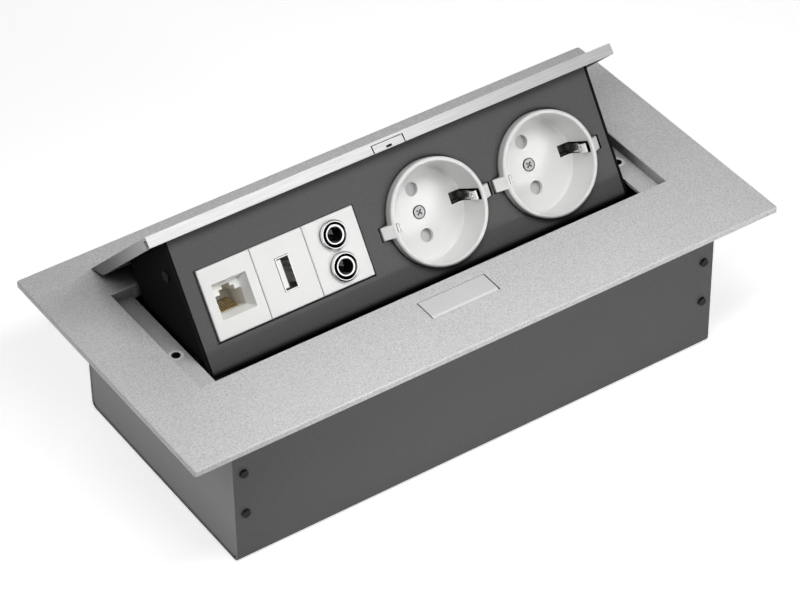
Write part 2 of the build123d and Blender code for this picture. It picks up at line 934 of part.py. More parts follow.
def make_insert():
    """White insert: ring, well with its slots, pin holes, screw seat, hub and two side lugs."""
    body = turned(
        [
            (0, insert_low),
            (ring_radius, insert_low),
            (ring_radius, ring_proud - ring_bevel),
            (ring_radius - ring_bevel, ring_proud),
            (well_radius + ring_inner_bevel, ring_proud),
            (well_radius, ring_proud - ring_inner_bevel),
            (well_radius, well_z + well_floor_bevel),
            (well_radius - well_floor_bevel, well_z),
            (0, well_z),
        ]
    )
    lug_face = make_face(
        Polyline(
            (well_radius + 1, -panel_sheet),
            (lug_reach, -panel_sheet),
            (lug_reach, lug_rise),
            (ring_radius - ring_bevel, ring_proud - lug_step),
            (well_radius + 1, ring_proud - lug_step),
            close=True,
        )
    )
    lug = Pos(0, -lug_width / 2, 0) * extrude(Plane.XZ * lug_face, amount=lug_width, dir=(0, 1, 0))
    body += lug + mirrored(lug)
    body += disc(hub_radius, room_low, insert_low)
    for y in (-pin_spacing / 2, pin_spacing / 2):
        body -= disc(pin_hole_radius, insert_low - 1, well_z + 1, 0, y)
    body -= disc(centre_screw_radius + screw_gap, room_low - 1, well_z + 1)
    body -= disc(centre_sink_radius, well_z - centre_sink, well_z + 1)
    slot = block(
        well_radius - slot_reach, ring_radius - slot_back, -slot_width / 2, slot_width / 2,
        insert_low - 1, ring_proud - slot_top,
    )
    body -= slot + mirrored(slot)
    return body


def make_base():
    """Carrier behind the insert: a cup with a collar against the panel, and a terminal block."""
    inner = ring_radius + base_gap
    outer = inner + base_wall
    collar = outer + base_collar
    room = shutter_reach + shutter_room_gap
    base = turned(
        [
            (0, clip_low - base_floor),
            (outer, clip_low - base_floor),
            (outer, -panel_sheet - base_collar_thick),
            (collar, -panel_sheet - base_collar_thick),
            (collar, -panel_sheet),
            (inner, -panel_sheet),
            (inner, insert_low),
            (room, insert_low),
            (room, room_low),
            (0, room_low),
        ]
    )
    base += block(
        -base_block_width / 2, base_block_width / 2, -base_block_height / 2,
        base_block_height / 2, -base_depth, clip_low - base_floor,
    )
    flat = panel_drop - panel_bend - socket_drop - base_gap
    base -= block(-collar, collar, -collar, -flat, -panel_sheet - base_collar_thick, 0)
    channel = clip_width / 2 + screw_gap
    reach = clip_side_x + clip_strip + screw_gap
    base -= block(-reach, reach, -channel, channel, clip_low, insert_low + 1)
    base -= disc(clip_pad_radius + screw_gap, clip_low, room_low + 0.01)
    for y in (-pin_spacing / 2, pin_spacing / 2):
        base -= disc(sleeve_radius + screw_gap, -base_depth + sleeve_end_gap, room_low + 1, 0, y)
    base -= disc(centre_screw_radius, insert_low - centre_screw_length - 2, room_low + 1)
    return base


def make_sleeves():
    """Two slit brass sleeves that grip the plug's pins."""
    sleeves = []
    for y in (-pin_spacing / 2, pin_spacing / 2):
        low = -base_depth + sleeve_end_gap
        tube = disc(sleeve_radius, low, room_low, 0, y)
        tube -= disc(sleeve_radius - sleeve_wall, low - 1, room_low + 1, 0, y)
        half = sleeve_slit / 2
        tube -= block(0, sleeve_radius + 1, y - half, y + half, low + 4, room_low + 1)
        sleeves.append(tube)
    return group(sleeves)


def make_earth_clip():
    """One bent strip under the insert's floor, with a sprung contact up each side of the well."""
    bends = [
        (clip_side_x, clip_contact_low - clip_bow),
        (clip_contact_x, clip_contact_low),
        (clip_contact_x, clip_contact_high),
        (clip_contact_x + clip_flare, clip_contact_high + clip_flare),
    ]
    outer = [(clip_side_x + clip_strip, clip_low)] + [(x + clip_strip, z) for x, z in bends]
    inner = [(clip_side_x, room_low)] + bends
    side = outer + inner[::-1]
    other = [(-x, z) for x, z in side[::-1]]
    face = Plane.XZ * make_face(Polyline(*side, *other, close=True))
    clip = Pos(0, -clip_width / 2, 0) * extrude(face, amount=clip_width, dir=(0, 1, 0))
    clip += disc(clip_pad_radius, clip_low, room_low)
    dimple = rod_x(
        clip_dimple_radius, clip_contact_x - clip_dimple, clip_contact_x + clip_strip / 2,
        0, (clip_contact_low + clip_contact_high) / 2,
    )
    clip += dimple + mirrored(dimple)
    return clip - disc(centre_screw_radius + screw_gap, clip_low - 1, room_low + 1)


def make_centre_screw():
    seat = well_z - centre_sink
    screw = disc(centre_head_radius, seat, seat + centre_head)
    screw += disc(centre_screw_radius - screw_gap, insert_low - centre_screw_length, seat)
    for angle in (45, 135):
        screw -= Pos(0, 0, seat + centre_head) * Rotation(0, 0, angle) * Box(
            cross_length, cross_width, 2 * cross_depth
        )
    return screw


def make_shutter():
    """Bar on the insert's hub that covers both pin holes and turns aside under the pins."""
    top = insert_low - shutter_gap
    low = top - shutter_thick
    bar = Rectangle(2 * shutter_half_width, 2 * shutter_reach) & Circle(shutter_reach)
    shutter = Pos(0, 0, low) * extrude(bar + Circle(shutter_hub_radius), amount=shutter_thick)
    shutter -= disc(hub_radius + running_gap, low - 1, top + 1)
    half = pin_hole_radius + 0.3
    wedge = make_face(
        Polyline(
            (-shutter_half_width - 1, top + 0.01),
            (0, top + 0.01),
            (-shutter_half_width - 1, top - shutter_ramp),
            close=True,
        )
    )
    ramp = extrude(Plane.XZ * wedge, amount=2 * half, dir=(0, 1, 0))
    ramp = Pos(0, pin_spacing / 2 - half, 0) * ramp
    return shutter - ramp - Rotation(0, 0, 180) * ramp


# Data modules, each drawn on the panel's axes round its own centre

def module_at(index):
    """Where a module stands, counted from the left."""
    return panel_at * Pos(module_centre_x + (index - 1) * module_width, -module_drop, 0)


def make_support():
    """Frame behind the panel that the three modules clip into."""
    support = block(*module_window(support_border), -panel_sheet - support_thick, -panel_sheet)
    support -= block(*module_window(-support_lip), -panel_sheet - support_thick - 1, 1)
    return panel_at * support


def module_plate():
    """The bare white front plate of a module."""
    half_width = (module_width - module_joint) / 2
    half_height = module_height / 2
    plate = block(
        -half_width, half_width, -half_height, half_height, -panel_sheet, module_proud
    )
    return chamfer(plate.faces().sort_by(Axis.Z)[-1].edges(), frame_bevel)


funnel_low = module_proud - funnel_depth


def make_network_plate():
    """Front plate with the tapered funnel that leads to the network port."""
    half_width = funnel_throat_width / 2 + funnel_wall
    half_height = funnel_throat_height / 2 + funnel_wall
    plate = module_plate() + block(
        -half_width, half_width, -half_height, half_height, funnel_low, -panel_sheet
    )
    mouth = Pos(0, 0, module_proud) * Rectangle(funnel_width, funnel_height)
    throat = Pos(0, 0, funnel_low) * Rectangle(funnel_throat_width, funnel_throat_height)
    return plate - loft([throat, mouth])


def make_network_jack():
    """Jack body with the port, its two latch steps and the wire channel."""
    body = block(
        -jack_width / 2, jack_width / 2, jack_bottom, jack_top, funnel_low - jack_depth, funnel_low
    )
    floor = -funnel_throat_height / 2
    top = floor + port_height
    body -= block(
        -port_width / 2, port_width / 2, floor, top, funnel_low - port_depth, funnel_low + 1
    )
    for width, rise in latch_steps:
        body -= block(
            -width / 2, width / 2, top - 0.01, top + rise, funnel_low - port_depth, funnel_low + 1
        )
        top += rise
    return body


def make_network_wires():
    """Eight gold spring wires, rising from the port's floor towards its back."""
    floor = -funnel_throat_height / 2
    front = funnel_low - wire_setback
    bend = front - wire_run
    back = funnel_low - port_depth
    top = floor + wire_rise
    shape = outline(
        [
            (floor, front),
            (floor + wire_thick, front),
            (top, bend),
            (top, back),
            (top - wire_thick, back),
            (top - wire_thick, bend),
            (floor, front - 2 * wire_thick),
        ]
    )
    wires = []
    for index in range(wire_count):
        x = (index - (wire_count - 1) / 2) * wire_pitch
        wires.append(along_x(shape, x - wire_width / 2, x + wire_width / 2))
    return group(wires)


def make_usb_plate():
    half_width = usb_width / 2 + usb_hole_gap
    half_height = usb_height / 2 + usb_hole_gap
    hole = block(
        -half_width, half_width, -half_height, half_height, -panel_sheet - 1, module_proud + 1
    )
    return module_plate() - hole


def make_usb_shell():
    """Steel shell of the upright USB port."""
    top = module_proud + usb_lip
    half_width, half_height = usb_width / 2, usb_height / 2
    shell = block(-half_width, half_width, -half_height, half_height, top - usb_depth, top)
    shell -= block(
        usb_wall - half_width, half_width - usb_wall, usb_wall - half_height,
        half_height - usb_wall, top - usb_depth - 1, top + 1,
    )
    return shell


def make_usb_tongue():
    """Plastic tongue on the left of the port, with its rear block."""
    top = module_proud + usb_lip
    left = usb_wall - usb_width / 2
    tongue = block(
        left + tongue_offset, left + tongue_offset + tongue_thick, -tongue_height / 2,
        tongue_height / 2, top - usb_depth, top - tongue_setback,
    )
    half_height = usb_height / 2 - usb_wall - 0.05
    return tongue + block(
        left + 0.05, -left - 0.05, -half_height, half_height,
        top - usb_depth, top - usb_depth + tongue_block,
    )


def make_usb_contacts():
    """Four flat contacts on the tongue's right face."""
    top = module_proud + usb_lip
    face = usb_wall - usb_width / 2 + tongue_offset + tongue_thick
    return group(
        [
            block(
                face, face + contact_thick, y - contact_width / 2, y + contact_width / 2,
                top - usb_depth + tongue_block, top - tongue_setback - 0.6,
            )
            for y in contact_ys
        ]
    )


audio_ys = (audio_pitch / 2, -audio_pitch / 2)


def make_audio_plate():
    plate = module_plate()
    for y in audio_ys:
        plate -= disc(barrel_radius + barrel_gap, -panel_sheet - 1, module_proud + 1, 0, y)
    return plate


def make_bushing(y):
    """Chrome bushing: rim, dish, inner lip and barrel, round the jack's bore."""
    top = module_proud + bezel_proud
    sleeve = bore_radius + bushing_wall
    return Pos(0, y, 0) * turned(
        [
            (bore_radius, module_proud - barrel_length),
            (barrel_radius, module_proud - barrel_length),
            (barrel_radius, module_proud),
            (bezel_radius, module_proud),
            (bezel_radius, top - bezel_bevel),
            (bezel_radius - bezel_bevel, top),
            (bezel_radius - bezel_rim, top),
            (sleeve, module_proud + dish_floor),
            (sleeve, top - sleeve_lip),
            (bore_radius, top - sleeve_lip),
        ]
    )


def make_audio_nuts():
    nuts = []
    for y in audio_ys:
        top = -panel_sheet
        nut = hexagon(audio_nut_flats, top - audio_nut, top, 0, y)
        nuts.append(nut - disc(barrel_radius + screw_gap, top - audio_nut - 1, top + 1, 0, y))
    return group(nuts)


def make_audio_body(y):
    """Black jack body behind the bushing, with the bore and the leaf pocket."""
    top = module_proud - barrel_length
    half = audio_body / 2
    body = block(-half, half, y - half, y + half, top - audio_body_depth, top)
    floor = top - audio_body_depth + audio_body_wall
    body -= disc(bore_radius + audio_room, floor, top + 1, 0, y)
    return body


def make_audio_leaves():
    """The sprung contact leaf in each jack, bowed into the bore."""
    top = module_proud - barrel_length - leaf_setback
    middle = top - leaf_half_length
    low = middle - leaf_half_length
    foot = bore_radius + audio_room - leaf_foot_inset
    bow = foot - leaf_rise + leaf_foot_inset
    leaves = []
    for y in audio_ys:
        face = make_face(
            Polyline(
                (foot, top),
                (foot + leaf_foot, top),
                (bow + leaf_thick, middle),
                (foot + leaf_foot, low),
                (foot, low),
                (bow, middle),
                close=True,
            )
        )
        leaf = extrude(Plane.XZ * face, amount=leaf_width, dir=(0, 1, 0))
        leaves.append(Pos(0, y - leaf_width / 2, 0) * leaf)
    return group(leaves)


# Release button and latch

lip_top = seat_z - slide_gap
lip_low = lip_top - button_lip_thick
stem_low = lip_low - stem_ramp_top - stem_ramp
ramp_line = button_centre_y - stem_front + lip_low - stem_ramp_top
bolt_top = -bolt_top_drop
web_back = recess_front - recess_wall - slide_gap * 2
web_front = web_back - bolt_web
bolt_low = bolt_top - bolt_bar - bolt_block
guide_back = recess_front - recess_wall
bolt_front_y = button_centre_y - bolt_front
guide_front = bolt_front_y - button_travel - slide_gap - guide_wall


def make_button():
    """Button cap with a bevelled front edge, a retaining lip and the stem with its ramp."""
    half = button_length / 2
    cap_face = outline(
        [
            (button_front, lip_top),
            (button_front, frame_thick - button_bevel_drop),
            (button_front + button_bevel, frame_thick),
            (button_back, frame_thick),
            (button_back, lip_top),
        ]
    )
    cap = along_x(cap_face, -half, half)
    cap += block(
        -half - button_lip, half + button_lip, button_front - button_lip,
        button_back + button_lip, lip_low, lip_top,
    )
    front, back = button_centre_y - stem_front, button_centre_y + stem_back
    stem = outline(
        [
            (front, lip_low),
            (front, lip_low - stem_ramp_top),
            (front + stem_ramp, stem_low),
            (back, stem_low),
            (back, lip_low),
        ]
    )
    return cap + along_x(stem, -stem_half_width, stem_half_width)


def make_bolt():
    """Latch bolt: a frame round the stem with the matching ramp, a web and the nose."""
    rear = web_back
    window_back = button_centre_y + stem_back + button_travel + slide_gap
    bar = block(
        -bolt_half_width, bolt_half_width, bolt_front_y, rear, bolt_low, bolt_low + bolt_bar
    )
    bar += block(
        -bolt_half_width, bolt_half_width, bolt_front_y, ramp_line - bolt_top, bolt_low, bolt_top
    )
    window_x = stem_half_width + slide_gap
    line = ramp_line - ramp_gap
    window = outline(
        [
            (line - bolt_top - 1, bolt_top + 1),
            (line - bolt_low + 1, bolt_low - 1),
            (window_back, bolt_low - 1),
            (window_back, bolt_top + 1),
        ]
    )
    bar -= along_x(window, -window_x, window_x)
    over = outline(
        [
            (line - bolt_top - 1, bolt_top + 1),
            (line - bolt_low - bolt_bar, bolt_low + bolt_bar),
            (rear + 1, bolt_low + bolt_bar),
            (rear + 1, bolt_top + 1),
        ]
    )
    bar -= along_x(over, -bolt_half_width - 1, bolt_half_width + 1)
    bar -= rod_y(
        spring_pocket_radius, bolt_front_y - 1, bolt_front_y + spring_pocket, 0,
        (bolt_top + bolt_low) / 2,
    )
    web = block(
        -bolt_web_half_width, bolt_web_half_width, web_front, web_back, bolt_low + bolt_bar / 2,
        -nose_top_drop,
    )
    tip = lid_front + nose_reach
    nose = outline(
        [
            (web_front, nose_z),
            (tip, nose_z),
            (tip, -nose_top_drop - nose_bevel),
            (tip - nose_bevel, -nose_top_drop),
            (web_front, -nose_top_drop),
        ]
    )
    return bar + web + along_x(nose, -nose_half_width, nose_half_width)


def make_guide():
    """Moulded guide under the frame that holds the button and the bolt."""
    low = stem_low - button_travel - slide_gap - guide_floor
    guide = block(-guide_end, guide_end, guide_front, guide_back, low, seat_z)
    ears = block(
        -guide_end - guide_ear, guide_end + guide_ear, button_centre_y - guide_ear / 2,
        button_centre_y + guide_ear / 2, seat_z - guide_ear_thick, seat_z,
    )
    guide += ears
    lip_x = button_length / 2 + button_lip + slide_gap
    shelf = lip_low - button_travel - slide_gap
    guide -= block(
        -lip_x, lip_x, button_front - button_lip - slide_gap, button_back + button_lip + slide_gap,
        shelf, seat_z + 1,
    )
    bolt_x = bolt_half_width + slide_gap
    guide -= block(
        -bolt_x, bolt_x, guide_front + guide_wall, guide_back + 1, bolt_low - slide_gap, shelf + 1
    )
    web_x = bolt_web_half_width + slide_gap
    guide -= block(
        -web_x, web_x, button_centre_y, guide_back + 1, bolt_low - slide_gap, seat_z + 1
    )
    stem_x = stem_half_width + slide_gap
    guide -= block(
        -stem_x, stem_x, button_centre_y - stem_front - slide_gap,
        button_centre_y + stem_back + slide_gap, low + guide_floor, shelf + 1,
    )
    guide -= rod_y(
        spring_pocket_radius, guide_front + guide_wall - spring_seat,
        guide_front + guide_wall + 1, 0, (bolt_top + bolt_low) / 2,
    )
    for x in (-ear_screw_x, ear_screw_x):
        guide -= disc(m3_radius + screw_gap, low, seat_z + 1, x, button_centre_y)
    return guide


def make_guide_screws():
    return at_both_ends(make_up_screw(ear_screw_x, button_centre_y, seat_z - guide_ear_thick))


def make_latch_spring():
    """Compression spring between the guide's front wall and the bolt."""
    start = guide_front + guide_wall - spring_seat + latch_wire
    end = bolt_front_y + spring_pocket - latch_wire
    spring = coil(latch_coil_radius, latch_wire, (end - start) / latch_turns, latch_turns)
    return Pos(0, start, (bolt_top + bolt_low) / 2) * Rotation(-90, 0, 0) * spring


# Cable entries, cord anchor and earth stud

def make_grommet(x, drop, bore, neck):
    """Flanged entry sleeve in the rear wall, clipped over the hole's drawn collar."""
    flange = neck + grommet_flange
    tip = collar_tip - grommet_flange_thick
    back = box_side + grommet_flange_thick
    body = rod_y(neck, collar_tip, box_side, x, -drop)
    body += rod_y(flange, box_side, back, x, -drop)
    body += rod_y(flange, tip, collar_tip, x, -drop)
    return body - rod_y(bore, tip - 1, back + 1, x, -drop)


def make_anchor():
    """Cord anchor on the box floor: a saddle and a bar that clamp the mains cord."""
    half = anchor_width / 2
    front, back = anchor_y - anchor_depth / 2, anchor_y + anchor_depth / 2
    split = -mains_drop
    saddle = block(mains_x - half, mains_x + half, front, back, box_floor, split - anchor_split / 2)
    bar = block(
        mains_x - half, mains_x + half, front, back, split + anchor_split / 2,
        split + anchor_split / 2 + anchor_bar,
    )
    cut = rod_y(mains_bore_radius, front - 1, back + 1, mains_x, split)
    for x in (mains_x - anchor_screw_spacing / 2, mains_x + anchor_screw_spacing / 2):
        cut += disc(m3_radius + screw_gap, box_floor - 1, 0, x, anchor_y)
    return group([saddle - cut, bar - cut])


def make_anchor_screws():
    top = anchor_split / 2 + anchor_bar - mains_drop
    screws = []
    for x in (mains_x - anchor_screw_spacing / 2, mains_x + anchor_screw_spacing / 2):
        screw = disc(m3_radius, box_floor - box_sheet * 0.5, top, x, anchor_y)
        screws.append(screw + disc(m3_head_radius, top, top + m3_head, x, anchor_y))
    return group(screws)


def make_earth_stud():
    """Stud for the protective earth, pressed through the box floor, with its nut."""
    stud = disc(earth_radius, box_floor - box_sheet * 0.5, box_floor + earth_height, earth_x, earth_y)
    top = box_floor + earth_nut
    nut = hexagon(earth_flats, box_floor, top, earth_x, earth_y)
    nut -= disc(earth_radius + screw_gap, box_floor - 1, top + 1, earth_x, earth_y)
    return group([stud, nut])


# Writing every sub-part

os.makedirs("parts", exist_ok=True)

save(make_frame(), "flange_frame")
save(make_frame_screws(), "frame_screws")
save(make_shell(), "housing_shell")
end_plate = make_end_plate()
save(end_plate, "end_plate_right")
save(mirrored(end_plate), "end_plate_left")
save(make_box_screws(), "housing_screws")
bracket = make_bracket()
save(bracket, "pivot_bracket_right")
save(mirrored(bracket), "pivot_bracket_left")
save(make_bushes(), "pivot_bushes")
save(make_bracket_screws(), "bracket_screws")
save(make_pins(), "pivot_pins")
save(make_pin_clips(), "pin_clips")
spring = make_torsion_spring()
save(spring, "torsion_spring_right")
save(mirrored(spring), "torsion_spring_left")

save(make_lid(), "lid")
save(make_keeper(), "latch_keeper")
save(make_studs(), "lid_studs")
save(make_stud_nuts(), "stud_nuts")
save(make_panel(), "front_panel")
save(make_cover(), "rear_cover")
side_plate = make_side_plate()
save(side_plate, "side_plate_right")
save(mirrored(side_plate), "side_plate_left")
save(make_side_screws(), "side_screws")

for number, x in enumerate(socket_xs, start=1):
    place = socket_at(x)
    save(place * make_insert(), f"socket_{number}_insert")
    save(place * make_base(), f"socket_{number}_base")
    save(place * make_sleeves(), f"socket_{number}_pin_sleeves")
    save(place * make_earth_clip(), f"socket_{number}_earth_clip")
    save(place * make_centre_screw(), f"socket_{number}_screw")
    save(place * make_shutter(), f"socket_{number}_shutter")

save(make_support(), "module_support")
save(module_at(0) * make_network_plate(), "network_plate")
save(module_at(0) * make_network_jack(), "network_jack")
save(module_at(0) * make_network_wires(), "network_wires")
save(module_at(1) * make_usb_plate(), "usb_plate")
save(module_at(1) * make_usb_shell(), "usb_shell")
save(module_at(1) * make_usb_tongue(), "usb_tongue")
save(module_at(1) * make_usb_contacts(), "usb_contacts")
save(module_at(2) * make_audio_plate(), "audio_plate")
for name, y in zip(("upper", "lower"), audio_ys):
    save(module_at(2) * make_bushing(y), f"audio_bushing_{name}")
    save(module_at(2) * make_audio_body(y), f"audio_body_{name}")
save(module_at(2) * make_audio_nuts(), "audio_nuts")
save(module_at(2) * make_audio_leaves(), "audio_leaves")

save(make_button(), "release_button")
save(make_bolt(), "latch_bolt")
save(make_guide(), "latch_guide")
save(make_guide_screws(), "guide_screws")
save(make_latch_spring(), "latch_spring")

save(make_grommet(mains_x, mains_drop, mains_bore_radius, mains_neck_radius), "mains_grommet")
save(make_grommet(data_x, data_drop, data_bore_radius, data_neck_radius), "data_grommet")
save(make_anchor(), "cord_anchor")
save(make_anchor_screws(), "anchor_screws")
save(make_earth_stud(), "earth_stud")
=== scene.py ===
from math import cos, radians, sin

import bpy
from mathutils import Matrix, Vector


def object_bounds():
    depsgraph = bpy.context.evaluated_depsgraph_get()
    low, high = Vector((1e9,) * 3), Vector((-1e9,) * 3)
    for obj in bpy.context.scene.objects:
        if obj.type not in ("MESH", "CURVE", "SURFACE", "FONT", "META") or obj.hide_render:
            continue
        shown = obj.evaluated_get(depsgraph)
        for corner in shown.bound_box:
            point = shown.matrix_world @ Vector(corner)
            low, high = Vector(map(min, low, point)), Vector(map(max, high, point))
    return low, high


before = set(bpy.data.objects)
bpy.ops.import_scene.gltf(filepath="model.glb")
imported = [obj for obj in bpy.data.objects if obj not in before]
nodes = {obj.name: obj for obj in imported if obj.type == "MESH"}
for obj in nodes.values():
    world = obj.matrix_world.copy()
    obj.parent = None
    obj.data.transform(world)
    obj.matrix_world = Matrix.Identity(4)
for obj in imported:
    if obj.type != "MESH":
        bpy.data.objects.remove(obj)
cad_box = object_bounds()

MM = 0.001

# Camera, from the photograph's perspective: angles in degrees, lengths in metres
camera_azimuth = -33.61
camera_elevation = 39.96
camera_roll = -0.83
camera_distance = 1.299
camera_right = -0.0005
camera_up = -0.0198
camera_nearest = 0.05
camera_farthest = 20.0
image_width = 800
focal_pixels = 3382.1
sensor_width = 36.0

# Directions of the open unit: across it, up its panel, out of its panel, and out of the lid's front strip
lid_angle = radians(45.0)
panel_tilt = lid_angle - radians(11.3)
across = Vector((1, 0, 0))
panel_up = Vector((0, sin(panel_tilt), cos(panel_tilt)))
panel_out = Vector((0, -cos(panel_tilt), sin(panel_tilt)))
strip_faces = Vector((0, -sin(lid_angle), cos(lid_angle)))

# A socket's clip slots, which get painted shade: their place from the socket's middle and from the top of
# its ring
slot_start = 14.4 * MM
slot_end = 20.8 * MM
slot_half_width = 2.35 * MM
slot_drop = 1.5 * MM

# The painted shade on an audio jack's dish: its radii, the way it lies from the middle, and its soft ends
dish_start = 3.65 * MM
dish_end = 5.0 * MM
dish_aside = -0.9
dish_rise = -0.35
dish_soft = 0.3

# Radius of the painted shade for the drive recess in the middle of each countersunk screw on the ledges
ledge_screw_recess_shade = 1.8 * MM

# Painted shade in gaps: openness where it is darkest, openness where it is clear, and what is left at the
# darkest
frame_gap_shade = (0.18, 0.47, 0.12)
lid_gap_shade = (0.35, 0.75, 0.02)
coat_gap_shade = (0.35, 0.8, 0.0)
plastic_gap_shade = (0.08, 0.34, 0.02)

# How squarely a face has to look one way to count in part and in full
nearly_square = (0.8, 0.95)
panel_bend_facing = (0.12, 0.6)
# How deep the painted shade is on faces that look down the open panel
panel_bend_shade = 0.75

# Finish values that more than one material has
speckle_scale = 1700.0
satin_roughness = (0.42, 0.62)
full_gloss = 0.5
coat_colour = (0.070, 0.070, 0.071)
white_colour = (0.84, 0.84, 0.83)
white_roughness = 0.32
white_scatter = 0.15

# Painted shade on the lid's ends, from the low rear edge at 0 to the raised front edge at 1, taken from the
# photo
lid_end_shade_tones = [(0.0, 0.14), (0.3, 0.29), (0.8, 0.72), (1.0, 0.82)]

# Floor and world
floor_half = 3.0
floor_shade = 0.88
floor_roughness = 0.9
floor_glow = 0.72
world_light = 0.08
world_white = 1.0

# Lamps: position, target and size in metres, power in watts, cone of light in degrees
lamps = {
    "over_front": ((-0.028, -0.12, 0.24), (-0.028, -0.12, 0), (0.34, 0.08), 0.645, 180.0),
    "front": ((0.16, -0.48, 0.25), (0.02, 0, 0), (0.4, 0.2), 0.185, 180.0),
    "back": ((0, 0.5, 0.6), (0, 0, 0), (0.6, 0.4), 0.42, 180.0),
    "low_front": ((0.3, -0.55, 0.02), (0.08, 0, -0.02), (0.4, 0.08), 0.05, 20.0),
    "low_left": ((-0.45, 0, -0.04), (0, 0, -0.04), (0.4, 0.04), 0.08, 14.0),
}


def make_camera():
    """The camera at the photograph's angle, with its roll and its small offset."""
    azimuth, elevation = radians(camera_azimuth), radians(camera_elevation)
    roll = radians(camera_roll)
    back = Vector(
        (sin(azimuth) * cos(elevation), -cos(azimuth) * cos(elevation), sin(elevation))
    )
    level_right = (-back).cross(Vector((0, 0, 1))).normalized()
    level_up = back.cross(level_right)
    right = cos(roll) * level_right + sin(roll) * level_up
    up = cos(roll) * level_up - sin(roll) * level_right
    data = bpy.data.cameras.new("camera")
    data.sensor_width = sensor_width
    data.lens = focal_pixels * sensor_width / image_width
    data.clip_start = camera_nearest
    data.clip_end = camera_farthest
    camera = bpy.data.objects.new("camera", data)
    camera.matrix_world = Matrix.Translation(
        back * camera_distance + right * camera_right + up * camera_up
    ) @ Matrix((right, up, back)).transposed().to_4x4()
    bpy.context.scene.collection.objects.link(camera)
    bpy.context.scene.camera = camera


# Sizes read from the pieces

def span(points, direction):
    """The lowest and highest place of some points along a direction."""
    places = [point.dot(direction) for point in points]
    return min(places), max(places)


def middle(points, direction):
    """The middle of some points along a direction."""
    return sum(span(points, direction)) / 2


def points_of(name):
    """The points of a piece's mesh."""
    return [vertex.co for vertex in nodes[name].data.vertices]


# Colours and shader steps

def grey(level):
    """A colour with the same value in red, green and blue."""
    return (level, level, level)


def scaled(colour, factor):
    """A colour made darker or lighter by a factor."""
    return tuple(min(1.0, value * factor) for value in colour)


def graph(name):
    """A new material with its node tree and its main shader."""
    material = bpy.data.materials.new(name)
    material.use_nodes = True
    tree = material.node_tree
    return material, tree, tree.nodes["Principled BSDF"]


def calc(tree, operation, first, second=None, third=None):
    """One arithmetic step on values or sockets."""
    node = tree.nodes.new("ShaderNodeMath")
    node.operation = operation
    for socket, value in zip(node.inputs, (first, second, third)):
        if value is None:
            continue
        if isinstance(value, (int, float)):
            socket.default_value = value
        else:
            tree.links.new(value, socket)
    return node.outputs["Value"]


def product(tree, first, *others):
    """Values or sockets multiplied together."""
    for value in others:
        first = calc(tree, "MULTIPLY", first, value)
    return first


def rest_of(tree, share):
    """What a share leaves of 1."""
    return calc(tree, "SUBTRACT", 1.0, share)


def distance(tree, aside, rise):
    """The length of two distances at right angles."""
    squares = calc(tree, "ADD", product(tree, aside, aside), product(tree, rise, rise))
    return calc(tree, "SQRT", squares)


def dot(tree, vector, direction):
    """The dot product of a socket with a direction or another socket."""
    node = tree.nodes.new("ShaderNodeVectorMath")
    node.operation = "DOT_PRODUCT"
    tree.links.new(vector, node.inputs[0])
    if isinstance(direction, bpy.types.NodeSocket):
        tree.links.new(direction, node.inputs[1])
    else:
        node.inputs[1].default_value = direction
    return node.outputs["Value"]


def spread(tree, value, low, high):
    """A value from 0 to 1 spread between two others."""
    node = tree.nodes.new("ShaderNodeMapRange")
    node.inputs["To Min"].default_value = low
    node.inputs["To Max"].default_value = high
    tree.links.new(value, node.inputs["Value"])
    return node.outputs["Result"]


def eased(tree, value, start, end, floor=0.0):
    """A smooth step, from a floor value at the start to 1 at the end."""
    node = tree.nodes.new("ShaderNodeMapRange")
    node.interpolation_type = "SMOOTHSTEP"
    node.inputs["From Min"].default_value = start
    node.inputs["From Max"].default_value = end
    node.inputs["To Min"].default_value = floor
    tree.links.new(value, node.inputs["Value"])
    return node.outputs["Result"]


def ramp(tree, value, stops):
    """Colours or grey levels at places along a value from 0 to 1."""
    node = tree.nodes.new("ShaderNodeValToRGB")
    elements = node.color_ramp.elements
    while len(elements) < len(stops):
        elements.new(0.5)
    for element, (at, tone) in zip(elements, stops):
        colour = tone if isinstance(tone, tuple) else grey(tone)
        element.position = at
        element.color = (*colour, 1)
    tree.links.new(value, node.inputs["Fac"])
    return node.outputs["Color"]


def two_tone(tree, value, low, high, start=0.3):
    """Noise turned into two tones, with a soft step round the noise's middle."""
    return ramp(tree, value, [(start, low), (1 - start, high)])


def speckled(tree, value, dark, shade, bright):
    """Noise turned into a shade with dark and bright specks."""
    return ramp(tree, value, [(0.34, dark), (0.5, shade), (0.66, bright)])


def mixed(tree, share, first, second, blend="MIX"):
    """Two colours mixed by a share."""
    node = tree.nodes.new("ShaderNodeMix")
    node.data_type = "RGBA"
    node.blend_type = blend
    for socket, value in (
        (node.inputs["Factor"], share),
        (node.inputs["A"], first),
        (node.inputs["B"], second),
    ):
        if isinstance(value, bpy.types.NodeSocket):
            tree.links.new(value, socket)
        elif socket.type == "RGBA":
            socket.default_value = (*value, 1)
        else:
            socket.default_value = value
    return [output for output in node.outputs if output.type == "RGBA"][0]


def multiplied(tree, first, second):
    """Two colours multiplied."""
    return mixed(tree, 1.0, first, second, "MULTIPLY")


# Places on a piece

def coordinates(tree, kind):
    """The point on the piece, or the way its surface faces, in the piece's own frame."""
    return tree.nodes.new("ShaderNodeTexCoord").outputs[kind]


def place(tree, stretch=(1, 1, 1)):
    """The point on the piece, in metres, stretched along the axes."""
    mapping = tree.nodes.new("ShaderNodeMapping")
    mapping.inputs["Scale"].default_value = stretch
    tree.links.new(coordinates(tree, "Object"), mapping.inputs["Vector"])
    return mapping.outputs["Vector"]


def along(tree, direction):
    """How far the point on the piece lies along a direction, in metres."""
    return dot(tree, coordinates(tree, "Object"), direction)


def faces_along(tree, direction, low, high):
    """1 where the surface faces a direction, 0 where it faces away."""
    return eased(tree, dot(tree, coordinates(tree, "Normal"), direction), low, high)


